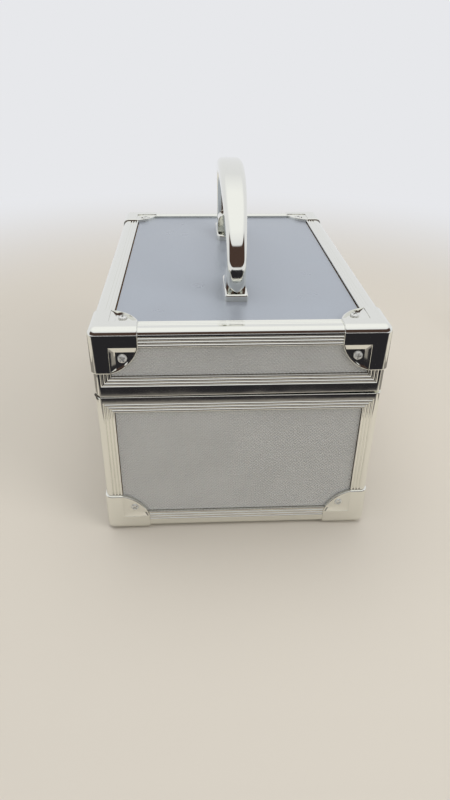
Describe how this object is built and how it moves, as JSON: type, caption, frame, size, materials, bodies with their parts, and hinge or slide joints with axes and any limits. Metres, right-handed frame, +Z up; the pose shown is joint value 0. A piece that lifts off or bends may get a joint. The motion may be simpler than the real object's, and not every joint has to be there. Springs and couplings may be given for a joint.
{
  "type": "vanity case",
  "caption": "Small hinged-lid carrying case with embossed silver panels, fluted chromed frame, corner caps, top handle and front hasp.",
  "frame": {"origin": "middle of the case in length and width, on the surface that the four bottom caps stand on", "axes": "+X along the length towards the right end, +Y towards the hinge at the back, +Z up; the latch is at -Y"},
  "size_m": [0.228, 0.1574, 0.1911],
  "materials": {
    "chrome_plate": "bright chrome plating on moulded plastic",
    "hardware_chrome": "bright chromed steel",
    "screws": "bright plated steel",
    "embossed_panel": "silver film with a fine embossed lattice",
    "top_sheet": "satin silver-blue film",
    "bottom_sheet": "matt black",
    "board": "thin fibreboard",
    "lining": "black flocked lining"
  },
  "bodies": {
    "base": {"base_back_panel": "embossed_panel", "base_bottom_rim": "chrome_plate", "base_bottom_sheet": "bottom_sheet", "base_cap_left_back": "chrome_plate", "base_cap_left_front": "chrome_plate", "base_cap_right_back": "chrome_plate", "base_cap_right_front": "chrome_plate", "base_cap_screws": "screws", "base_carcass": "board", "base_front_panel": "embossed_panel", "base_left_panel": "embossed_panel", "base_lining": "lining", "base_post_left_back": "chrome_plate", "base_post_left_front": "chrome_plate", "base_post_right_back": "chrome_plate", "base_post_right_front": "chrome_plate", "base_right_panel": "embossed_panel", "base_top_rim": "chrome_plate", "hinge_base_leaf": "hardware_chrome", "hinge_base_rivets": "screws", "hinge_pin": "hardware_chrome", "latch_base_plate": "hardware_chrome", "latch_base_screws": "screws", "latch_pin": "hardware_chrome"},
    "lid": {"handle_foot_left": "chrome_plate", "handle_foot_right": "chrome_plate", "handle_foot_screws": "screws", "handle_pins": "hardware_chrome", "hinge_lid_leaf": "hardware_chrome", "hinge_lid_rivets": "screws", "latch_keeper": "hardware_chrome", "latch_keeper_screws": "screws", "lid_back_panel": "embossed_panel", "lid_cap_left_back": "chrome_plate", "lid_cap_left_front": "chrome_plate", "lid_cap_right_back": "chrome_plate", "lid_cap_right_front": "chrome_plate", "lid_cap_screws": "screws", "lid_carcass": "board", "lid_front_panel": "embossed_panel", "lid_left_panel": "embossed_panel", "lid_lining": "lining", "lid_lower_rim": "chrome_plate", "lid_post_left_back": "chrome_plate", "lid_post_left_front": "chrome_plate", "lid_post_right_back": "chrome_plate", "lid_post_right_front": "chrome_plate", "lid_right_panel": "embossed_panel", "lid_top_rim": "chrome_plate", "lid_top_sheet": "top_sheet"},
    "handle_arch": {"handle": "chrome_plate"},
    "hasp_flap": {"latch_flap": "hardware_chrome"}
  },
  "joints": [
    {"name": "lid_hinge", "type": "hinge", "parent": "base", "child": "lid", "pos_m": [0, 0.0756, 0.09245], "axis": [-1, 0, 0], "range_deg": [0, 105]},
    {"name": "handle_pivot", "type": "hinge", "parent": "lid", "child": "handle_arch", "pos_m": [0, 0, 0.1398], "axis": [1, 0, 0], "range_deg": [-88, 88]},
    {"name": "hasp_hinge", "type": "hinge", "parent": "base", "child": "hasp_flap", "pos_m": [0, -0.0782, 0.0904], "axis": [-1, 0, 0], "range_deg": [0, 180]}
  ]
}
